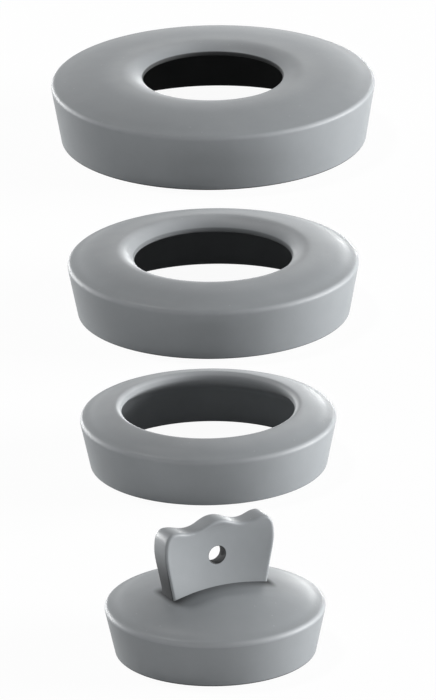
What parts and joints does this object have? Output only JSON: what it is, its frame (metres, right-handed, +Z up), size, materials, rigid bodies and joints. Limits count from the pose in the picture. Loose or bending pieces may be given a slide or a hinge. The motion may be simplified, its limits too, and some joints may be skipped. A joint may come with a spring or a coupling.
{
  "type": "universal sink plug with adapter rings",
  "caption": "Tapered rubber sink plug with a moulded finger grip, taken apart: adapter rings of rising size, each a cap that goes over the piece one size smaller.",
  "frame": {"origin": "on the floor, below the middle of the row's bounding box", "axes": "+Z up along the axes of all four pieces; +Y along the row, from the plug to the largest ring"},
  "size_m": [0.0528, 0.2659, 0.0216],
  "materials": {
    "plug_rubber": "satin moulded rubber, mid grey",
    "ring_rubber": "satin moulded rubber, mid grey"
  },
  "bodies": {
    "root": {"plug": "plug_rubber", "small_ring": "ring_rubber", "middle_ring": "ring_rubber", "large_ring": "ring_rubber"}
  },
  "joints": []
}
